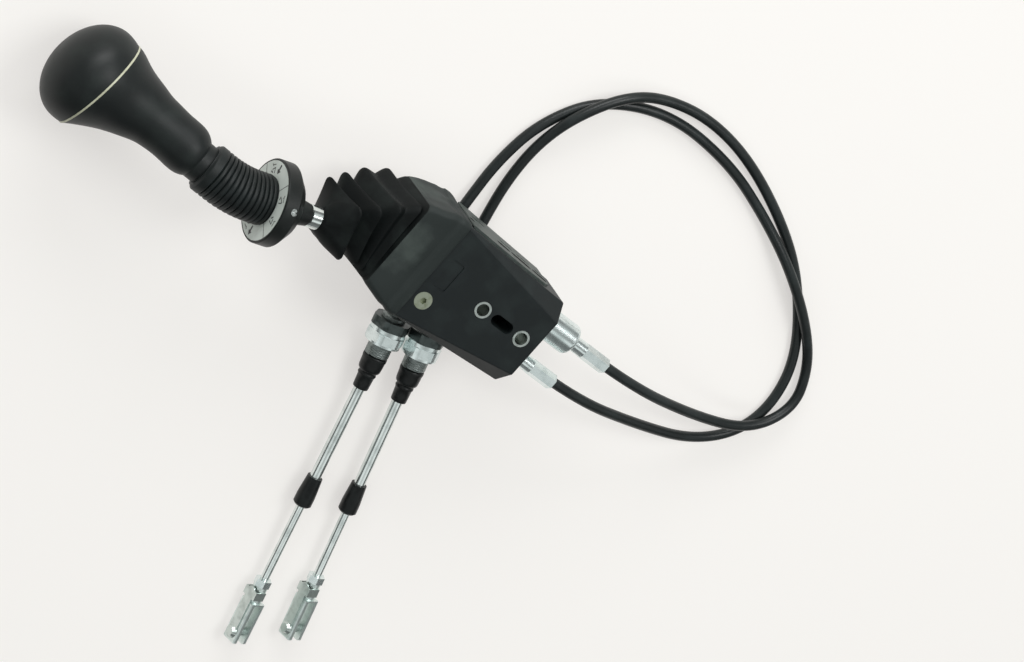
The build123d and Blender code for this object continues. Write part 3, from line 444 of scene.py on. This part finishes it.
print("points in a loop:", 4 * (CORNER_STEPS + SIDE_STEPS - 1))

# %% [markdown]
# ## The pleats
# A pleat runs from a rounded crest down into a sharp groove and out to the next crest. `pleat` gives that
# shape once, as shares of the way and depths in millimetres. The grooves near the housing are shallow, so
# that the lever has room to swing inside them.

# %% Fold the pleats
rims = [
    ((94.0, -0.5, 45.0), 31.2, 24.4, 5.0, 0.0),
    ((100.9, 1.5, 42.0), 29.3, 25.4, 18.0, 2.0),
    ((110.2, 4.8, 43.0), 25.3, 23.9, 24.0, 11.0),
    ((117.5, 8.7, 44.8), 21.5, 22.2, 28.0, 22.0),
    ((127.2, 14.0, 48.5), 19.5, 20.0, 27.0, 24.0),
]
groove_shares = (0.4, 0.36, 0.8, 1.0)             # of the full depth, from the housing outwards
pleat = [(0.05, 0.25), (0.12, 1.2), (0.25, 3.8), (0.38, 6.4), (0.46, 7.7), (0.5, 8.0),
         (0.54, 7.7), (0.66, 5.6), (0.8, 2.9), (0.9, 1.1), (0.96, 0.25)]

boot_loops = [loop_at(rims[0])]
for low, high, depth in zip(rims, rims[1:], groove_shares):
    boot_loops += [loop_at(between(low, high, t), inset * depth, sag=0.7) for t, inset in pleat]
    boot_loops.append(loop_at(high, sag=0.5))
print("loops so far:", len(boot_loops))

# %% [markdown]
# The outermost rim closes down on the lever in a soft cone and ends in a round collar. Its corners grow
# rounder on the way, until the last loops are circles that grip the shaft.

# %% Close the boot on the lever
COLLAR_FROM_PIVOT, LIP_FROM_PIVOT = 76.5, 77.3
COLLAR_RADIUS, LIP_RADIUS = 8.4, 6.2


def ring_on_lever(distance, radius):
    """A round section square to the lever, that many millimetres from its pivot."""
    middle = PIVOT + AHEAD * distance * MM - DATUM
    return tuple(c / MM for c in middle), radius, radius, LEVER_PITCH, LEVER_YAW


collar = ring_on_lever(COLLAR_FROM_PIVOT, COLLAR_RADIUS)
for t in (0.04, 0.12, 0.3, 0.5, 0.7, 0.85, 0.94, 1.0):
    mixed = between(rims[-1], collar, t)
    corner = 4.5 + (mixed[1] - 4.5) * t ** 0.6
    boot_loops.append(loop_at(mixed, -0.9 * sin(pi * t), corner=corner, sag=0.5 * (1 - t)))
lip = ring_on_lever(LIP_FROM_PIVOT, LIP_RADIUS)
boot_loops.append(loop_at(between(collar, lip, 0.7), corner=8))
boot_loops.append(loop_at(lip, corner=8))
folds = new_piece("boot_pleats", *skin(boot_loops), finish["boot_rubber"], "boot_rubber")
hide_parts("boot_bellows_upper")
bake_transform(folds)
print("pleats:", len(folds.data.vertices), "points")

# %% [markdown]
# ## The skirt and the shoulder
# The skirt stretches over the housing's neck, and its lower edge is a thick bead. Ahead of a shallow step
# the rubber runs free to the first rim, as a shoulder. A coarse noise moves its points by less than a
# millimetre, because old rubber is never flat. The skirt is clamped to the housing and stays still. The
# shoulder is a piece of its own.

# %% Stretch the skirt
skirt_rows = [
    (((62.0, -0.5, 43.5), 36.8, 25.2, 0.0, 0.0), 3.0, 0.0),
    (((61.4, -0.5, 43.5), 37.4, 25.8, 0.0, 0.0), 3.4, 0.0),
    (((61.5, -0.5, 43.5), 38.0, 26.2, 0.0, 0.0), 3.8, 0.0),
    (((62.3, -0.6, 43.5), 38.3, 26.5, 0.0, 0.0), 4.0, 0.1),
    (((65.0, -0.7, 43.5), 38.6, 26.9, 0.5, 0.0), 4.2, 0.3),
    (((68.6, -0.8, 43.6), 38.4, 27.2, 1.0, 0.0), 4.2, 0.4),
    (((70.2, -0.8, 43.6), 37.6, 26.7, 1.0, 0.0), 4.2, 0.6),
    (((72.0, -0.8, 43.7), 37.3, 26.6, 1.2, 0.0), 4.2, 0.8),
    (((76.0, -0.8, 43.9), 36.9, 27.0, 2.0, 0.0), 4.2, 0.7),
    (((83.0, -0.7, 44.4), 35.1, 26.6, 3.0, 0.0), 4.2, 0.9),
    (((88.0, -0.6, 44.7), 33.7, 25.8, 4.0, 0.0), 4.2, 0.9),
    (((91.5, -0.5, 44.9), 32.5, 25.2, 4.5, 0.0), 4.2, 0.6),
    (((93.3, -0.5, 45.0), 31.7, 24.8, 5.0, 0.0), 4.4, 0.2),
    (((94.0, -0.5, 45.0), 31.2, 24.4, 5.0, 0.0), 4.5, 0.0),
]                                                 # a section, its corner radius and its sag in each row
STEP_LOOP = 21                                    # the loop where the skirt ends and the shoulder begins
WAVINESS, WAVE_LENGTH = 0.75, 13                  # millimetres
NOISE_SEED = 3                                    # without one, the noise differs from run to run

skirt_loops = []
for low, high in zip(skirt_rows, skirt_rows[1:]):
    for share in (0, 1 / 3, 2 / 3):
        mixed = between(low[0], high[0], share)
        skirt_loops.append(loop_at(mixed, corner=low[1] + (high[1] - low[1]) * share, sag=low[2]))
skirt_loops.append(loop_at(skirt_rows[-1][0]))
noise.seed_set(NOISE_SEED)
for row, loop in enumerate(skirt_loops[3:-2]):
    ease = sin(pi * (row + 1) / len(skirt_loops[3:-2]))
    for point in loop:
        point += noise.noise_vector(point / (WAVE_LENGTH * MM)) * WAVINESS * MM * ease
print("skirt loops:", len(skirt_loops))

# %% Part the skirt from the shoulder
# the same rubber as the pleats, dulled by dust that has settled in patches
dusty = surface("weathered skirt rubber", "#232928", 0.62, patch="#3c4340", patch_mm=26, patch_share=0.4,
                grain_mm=0.9, shine=0.26)
skirt = new_piece("boot_skirt_rubber", *skin(skirt_loops[:STEP_LOOP + 1]), dusty, "boot_rubber")
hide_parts("boot_skirt")
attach(skirt, "housing")
shoulder = new_piece("boot_shoulder", *skin(skirt_loops[STEP_LOOP:]), dusty, "boot_rubber")
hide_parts("boot_bellows_lower")
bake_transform(shoulder)
print("skirt and shoulder:", len(skirt.data.vertices), "and", len(shoulder.data.vertices), "points")

# %% [markdown]
# ## Geometry trees
# A rib or a thread repeats by a rule, so a Geometry Nodes tree makes it from a few named sizes. The three
# helpers make a tree with named inputs, close it, and run it once, which leaves a plain mesh. An input is
# set by its identifier, because two inputs may have the same name.

# %% Make, close and run a geometry tree
MATH = "ShaderNodeMath"


def new_tree(name, sockets):
    """A geometry tree with the named inputs, their identifiers, its entry sockets and its result socket."""
    tree = bpy.data.node_groups.new(name, "GeometryNodeTree")
    tree.interface.new_socket("Geometry", in_out="INPUT", socket_type="NodeSocketGeometry")
    tree.interface.new_socket("Geometry", in_out="OUTPUT", socket_type="NodeSocketGeometry")
    keys = {}
    for label, kind in sockets:
        keys[label] = tree.interface.new_socket(label, in_out="INPUT", socket_type=kind).identifier
    return tree, keys, node(tree, "NodeGroupInput").outputs, node(tree, "NodeGroupOutput").inputs[0]


def close_tree(tree, geometry, material, result):
    """Ends a tree in real geometry with its material."""
    real = node(tree, "GeometryNodeRealizeInstances", {"Geometry": geometry})
    painted = node(tree, "GeometryNodeSetMaterial", {"Geometry": real, "Material": material})
    tree.links.new(painted.outputs["Geometry"], result)


def run_tree(obj, tree, keys, values, name):
    """Runs a geometry tree on obj with these values, and leaves a plain mesh object in its place."""
    modifier = obj.modifiers.new(tree.name, "NODES")
    modifier.node_group = tree
    for label, value in values.items():
        modifier[keys[label]] = value
    graph = bpy.context.evaluated_depsgraph_get()
    mesh = bpy.data.meshes.new_from_object(obj.evaluated_get(graph))
    mesh.name = name
    made = bpy.data.objects.new(name, mesh)
    bpy.context.scene.collection.objects.link(made)
    bpy.data.objects.remove(obj)
    return made


print("helpers: new_tree, close_tree, run_tree")

# %% [markdown]
# ## The ribbed sleeve's line
# The sleeve is a dipped tube that hides the bend of the lever under the grip. Its centre line is the
# lever's line, an arc, and the grip's line.

# %% Bend the sleeve's line
SLEEVE_START, SLEEVE_BEND_AT, SLEEVE_BEND_RADIUS, SLEEVE_PAST_BEND = 111, 138, 60, 24


def bent_line(start, corner, end, radius):
    """Points along two straight lengths joined by an arc."""
    u, v = (corner - start).normalized(), (end - corner).normalized()
    turn = u.angle(v)
    cut = radius * sin(turn / 2) / cos(turn / 2)
    centre = corner + (v - u).normalized() * radius / cos(turn / 2)
    first, across = corner - u * cut, (corner - u * cut - centre).normalized()
    arc = [centre + (across * cos(turn * k / 24) + u * sin(turn * k / 24)) * radius for k in range(25)]
    near = [start + (first - start) * k / 12 for k in range(12)]
    far = [arc[-1] + (end - arc[-1]) * k / 12 for k in range(1, 13)]
    return near + arc + far


corner = on_lever(SLEEVE_BEND_AT)
_, _, grip_way = leaning(-12, 0)
sleeve_end = corner + grip_way * SLEEVE_PAST_BEND * MM
line = bent_line(on_lever(SLEEVE_START), corner, sleeve_end, SLEEVE_BEND_RADIUS * MM)
line_length = sum((q - p).length for p, q in zip(line, line[1:]))
centre_line = bpy.data.curves.new("sleeve line", "CURVE")
centre_line.dimensions = "3D"
run = centre_line.splines.new("POLY")
run.points.add(len(line) - 1)
for point, place in zip(run.points, line):
    point.co = (*place, 1)
print("sleeve line:", round(line_length / MM, 1), "mm")

# %% [markdown]
# ## The sleeve's tree
# A circle is swept along the line, and its size at each place is worked out from the distance to both
# ends. It is the sleeve's radius, less a taper into the disc, a rounded end, and the grooves between the
# ribs. A groove is where a sine wave comes close to nought, raised to a power that keeps the ribs full.
# Rings of separate geometry would need joining, and this way the sleeve is one skin.

# %% Build the sleeve's tree
tree, keys, given, result = new_tree("ribbed tube", [
    ("Radius", "NodeSocketFloat"), ("Start radius", "NodeSocketFloat"), ("Rib pitch", "NodeSocketFloat"),
    ("Rib depth", "NodeSocketFloat"), ("Smooth length", "NodeSocketFloat"), ("Length", "NodeSocketFloat"),
    ("Material", "NodeSocketMaterial")])
fine = node(tree, "GeometryNodeResampleCurve", {"Curve": given["Geometry"], "Count": 520})
along = node(tree, "GeometryNodeSplineParameter").outputs["Length"]
left = node(tree, MATH, (given["Length"], along), operation="SUBTRACT")
taper = node(tree, "ShaderNodeMapRange", {
    "Value": along, "From Max": 7.5 * MM, "To Min": given["Start radius"], "To Max": given["Radius"],
}, interpolation_type="SMOOTHSTEP")
ending = node(tree, "ShaderNodeMapRange", {
    "Value": left, "From Max": 2.2 * MM, "To Min": 1.6 * MM, "To Max": 0.0,
}, interpolation_type="SMOOTHSTEP")
past_smooth = node(tree, MATH, (left, given["Smooth length"]), operation="SUBTRACT")
phase = node(tree, MATH, (past_smooth, given["Rib pitch"]), operation="DIVIDE")
angle = node(tree, MATH, (phase, pi), operation="MULTIPLY")
sine = node(tree, MATH, (angle,), operation="SINE")
crest = node(tree, MATH, (sine,), operation="ABSOLUTE")
valley = node(tree, MATH, (1.0, crest), operation="SUBTRACT")
groove = node(tree, MATH, (valley, 2.2), operation="POWER")
groove_depth = node(tree, MATH, (groove, given["Rib depth"]), operation="MULTIPLY")
past_disc = node(tree, MATH, (along, 4.0 * MM), operation="GREATER_THAN")
last_groove = node(tree, MATH, (given["Smooth length"], 0.9 * MM), operation="SUBTRACT")
before_grip = node(tree, MATH, (left, last_groove), operation="GREATER_THAN")
ribbed = node(tree, MATH, (past_disc, before_grip), operation="MULTIPLY")
cut = node(tree, MATH, (groove_depth, ribbed), operation="MULTIPLY")
smooth_radius = node(tree, MATH, (taper, ending), operation="SUBTRACT")
radius = node(tree, MATH, (smooth_radius, cut), operation="SUBTRACT")
circle = node(tree, "GeometryNodeCurvePrimitiveCircle", {"Resolution": 72, "Radius": 1.0})
tube = node(tree, "GeometryNodeCurveToMesh", {
    "Curve": fine, "Profile Curve": circle, "Scale": radius, "Fill Caps": True})
shade = node(tree, "GeometryNodeSetShadeSmooth", {"Geometry": tube})
close_tree(tree, shade, given["Material"], result)
print("sleeve's tree:", len(tree.nodes), "nodes")

# %% Run it along the line
carrier = bpy.data.objects.new("sleeve_carrier", centre_line)
bpy.context.scene.collection.objects.link(carrier)
sleeve = run_tree(carrier, tree, keys, {
    "Radius": 16.4 * MM, "Start radius": 13.8 * MM, "Rib pitch": 3.1 * MM, "Rib depth": 1.5 * MM,
    "Smooth length": 7.6 * MM, "Length": line_length, "Material": finish["sleeve_rubber"]}, "sleeve_ribbed")
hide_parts("corrugated_sleeve")
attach(sleeve, "lever")
print("sleeve:", len(sleeve.data.vertices), "points")

# %% [markdown]
# ## Rolled threads on the hubs
# The hubs are M16 with a 1.5 mm pitch. The CAD hub is a plain rod at the thread's mean size, and the ridge
# is laid on it here, because a real helix in the solid would be heavy. A bump pattern would look flat at
# the edge. A spiral with a small square profile on its corner is enough for the V of a thread.

# %% Build the thread's tree
tree, keys, given, result = new_tree("thread ridge", [
    ("Radius", "NodeSocketFloat"), ("Pitch", "NodeSocketFloat"), ("Length", "NodeSocketFloat"),
    ("Material", "NodeSocketMaterial")])
turns = node(tree, MATH, (given["Length"], given["Pitch"]), operation="DIVIDE")
spiral = node(tree, "GeometryNodeCurveSpiral", {
    "Resolution": 48, "Rotations": turns, "Start Radius": given["Radius"], "End Radius": given["Radius"],
    "Height": given["Length"]})
even = node(tree, "GeometryNodeResampleCurve", {"Curve": spiral, "Count": 900})
vee = node(tree, "GeometryNodeCurvePrimitiveCircle", {"Resolution": 4, "Radius": 0.55 * MM})
ridge = node(tree, "GeometryNodeCurveToMesh", {"Curve": even, "Profile Curve": vee, "Fill Caps": True})
close_tree(tree, ridge, given["Material"], result)
print("thread's tree:", len(tree.nodes), "nodes")

# %% Cut the four threads
THREAD_RADIUS, THREAD_PITCH = 7.75, 1.5
THREAD_RUNS = (("front", 9.0, 8.4), ("rear", -11.6, 2.4))     # name, start and length along the hub

for number in (1, 2):
    hub, way = hub_line(number)
    for part, start, length in THREAD_RUNS:
        blank = new_piece("thread_blank", [(0, 0, 0)], [], finish["thread_zinc"], "thread_zinc", smooth=False)
        thread = run_tree(blank, tree, keys, {
            "Radius": THREAD_RADIUS * MM, "Pitch": THREAD_PITCH * MM, "Length": length * MM,
            "Material": finish["thread_zinc"]}, f"cable_{number}_thread_{part}")
        turn = way.to_track_quat("Z", "Y").to_matrix().to_4x4()
        thread.data.transform(Matrix.Translation(at(*(hub + way * start))) @ turn)
        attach(thread, "housing")
        print(thread.name, "at", start, "mm from the hub's middle")

# %% [markdown]
# ## The hub boots
# Each hub ends in a small nitrile boot: a barrel over the end of the thread, a waist that bends, and a neck
# on the swivel tube. It is turned round the hub's line from one profile, as a lathe would. The Spin
# operator could do it, but loops and `skin` keep the faces outwards.

# %% Turn the hub boots
HUB_BOOT_START, HUB_BOOT_BEND = 18.1, 24
hub_boot_profile = [
    (0.0, 6.9), (0.0, 7.9), (0.3, 8.2), (2.0, 8.25), (3.4, 7.9), (6.0, 7.8), (9.0, 7.6), (10.4, 7.3),
    (11.1, 6.8), (11.5, 6.1), (12.2, 5.8), (12.9, 6.1), (13.7, 6.3), (14.4, 6.1), (15.0, 5.7), (19.0, 5.5),
    (23.5, 5.3), (24.0, 5.1), (24.2, 4.7), (24.2, 3.85),
]


def turned(name, start, way, profile, material, slot, count=56):
    """A body of revolution: profile holds (distance along way, radius) in millimetres."""
    one = way.orthogonal().normalized()
    two = way.cross(one)
    loops = []
    for distance, radius in profile:
        middle = start + way * distance * MM
        loops.append([middle + (one * cos(2 * pi * k / count) + two * sin(2 * pi * k / count)) * radius * MM
                      for k in range(count)])
    return new_piece(name, *skin(loops), material, slot)


for number in (1, 2):
    hub, way = hub_line(number)
    first = at(*(hub + way * HUB_BOOT_START))
    rubber = turned(f"cable_{number}_hub_boot_rubber", first, way, hub_boot_profile, finish["wiper_rubber"],
                    "wiper_rubber")
    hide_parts(f"cable_{number}_hub_boot")
    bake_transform(rubber)
    print(rubber.name, "with", len(rubber.data.vertices), "points")

# %% [markdown]
# ## The side cover's openings
# Four obround openings run along the cover's upper edge, and nothing but darkness shows behind them. That
# darkness is painted shade: thin dark faces just proud of the cover, which lies flat on a wall that leans in
# slightly.

# %% Paint shade over the openings
WALL_LEANS_IN = 0.04345                           # radians
COVER_WALL, COVER_PROUD = -34.304, 1.64           # the wall's place, and the cover's face ahead of it
COVER_OPENINGS = ((-16, -2.6, 42.5, 47.5), (-0.4, 17.5, 44, 49), (19.4, 31, 45, 50), (52.5, 56.6, 46, 50))
END_STEPS = 9

# painted shade: near black, like the inside of a closed box, where almost no light comes back
dark = surface("painted opening shade", "#050606", 0.9, patch="#080909", patch_mm=5, shine=0.1)
cover_out = Vector((-sin(WALL_LEANS_IN), -cos(WALL_LEANS_IN), 0))
cover_along = Vector((cos(WALL_LEANS_IN), -sin(WALL_LEANS_IN), 0))


def cover_opening(first, last, low, high):
    """An obround on the cover's face, from first to last along it, between two heights."""
    r, middle = (high - low) / 2, (high + low) / 2
    outline = []
    for centre, begin in ((last - r, -90), (first + r, 90)):
        for step in range(END_STEPS):
            t = radians(begin + step * 180 / (END_STEPS - 1))
            outline.append((centre + r * cos(t), middle + r * sin(t)))
    face = at(0, COVER_WALL, 0) + cover_out * COVER_PROUD * MM
    return [face + cover_along * x * MM + Vector((0, 0, z * MM)) for x, z in outline]


openings = [cover_opening(*size) for size in COVER_OPENINGS]
around = 2 * END_STEPS
opening_faces = [tuple(range(k * around, (k + 1) * around)) for k in range(len(openings))]
# painted shade laid over the openings, on the cover's face
covers = new_piece("cover_openings_painted_shade", [p for opening in openings for p in opening], opening_faces, dark,
                   "cover_plastic", smooth=False)
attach(covers, "housing")
print("cover openings:", len(openings))

# %% [markdown]
# ## The disc's printed ring
# The label on the disc is screen printed: four thin division lines, two arrows and small plain pictograms.
# A picture could carry them, but flat shapes a hair thick stay sharp at any distance. Each is drawn from a
# radius and an angle on the label, as a printer would lay it out.

# %% Draw on the label
label_centre = on_lever(116.0)
ink_height = 0.06 * MM


def on_label(radius, angle):
    """A point on the label's face, from its radius in millimetres and its angle from the side direction."""
    t = radians(angle)
    return label_centre + (SIDE * cos(t) + FRONT * sin(t)) * radius * MM + AHEAD * ink_height


def stroke(radius_a, angle_a, radius_b, angle_b, width):
    """A straight ink stroke between two places on the label."""
    a, b = on_label(radius_a, angle_a), on_label(radius_b, angle_b)
    across = AHEAD.cross(b - a).normalized() * width / 2 * MM
    return [a - across, b - across, b + across, a + across]


def arrow(radius, angle, length):
    """An arrow along the side direction, with its middle at a place on the label."""
    middle = on_label(radius, angle)
    outline = [(-0.5, -0.32), (0.05, -0.32), (0.05, -1.0), (0.5, 0), (0.05, 1.0), (0.05, 0.32), (-0.5, 0.32)]
    return [middle + SIDE * MM * x * length + FRONT * MM * y * length * 0.36 for x, y in outline]


def pictogram(radius, angle):
    """A scoop on an arm with a small turning arrow: five short strokes."""
    return [
        stroke(radius - 3.0, angle - 6, radius + 0.6, angle - 5, 0.6),
        stroke(radius + 0.6, angle - 5, radius - 0.8, angle + 4, 0.6),
        stroke(radius + 2.6, angle - 4, radius + 2.2, angle + 4, 0.5),
        stroke(radius - 3.0, angle + 1, radius - 1.6, angle + 7, 0.8),
        stroke(radius + 1.4, angle + 3, radius + 3.0, angle + 7, 0.5),
    ]


divisions = [stroke(15.8, a, 25.5, a, 0.42) for a in (50, 140, 230, 320)]
arrows = [arrow(21, 186, 6.6), arrow(21, 4, 6.6)]
signs = [s for a in (77, 118, 206, 343) for s in pictogram(20.6, a)]
print("label:", len(divisions), "lines,", len(arrows), "arrows,", len(signs), "strokes in pictograms")

# %% Print it
# a solid black film that dries satin
ink = surface("printing ink", "#1b1c1e", 0.5, patch="#26282a", patch_mm=3)
points, faces = [], []
for shape in divisions + arrows + signs:
    base, n = len(points), len(shape)
    points += shape + [p - AHEAD * 2 * ink_height for p in shape]
    faces += [tuple(range(base, base + n)), tuple(reversed(range(base + n, base + 2 * n)))]
    faces += [(base + k, base + n + k, base + n + (k + 1) % n, base + (k + 1) % n) for k in range(n)]
printing = new_piece("label_printing", points, faces, ink, "disc_plastic", smooth=False)
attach(printing, "lever")
print("printing:", len(faces), "faces")
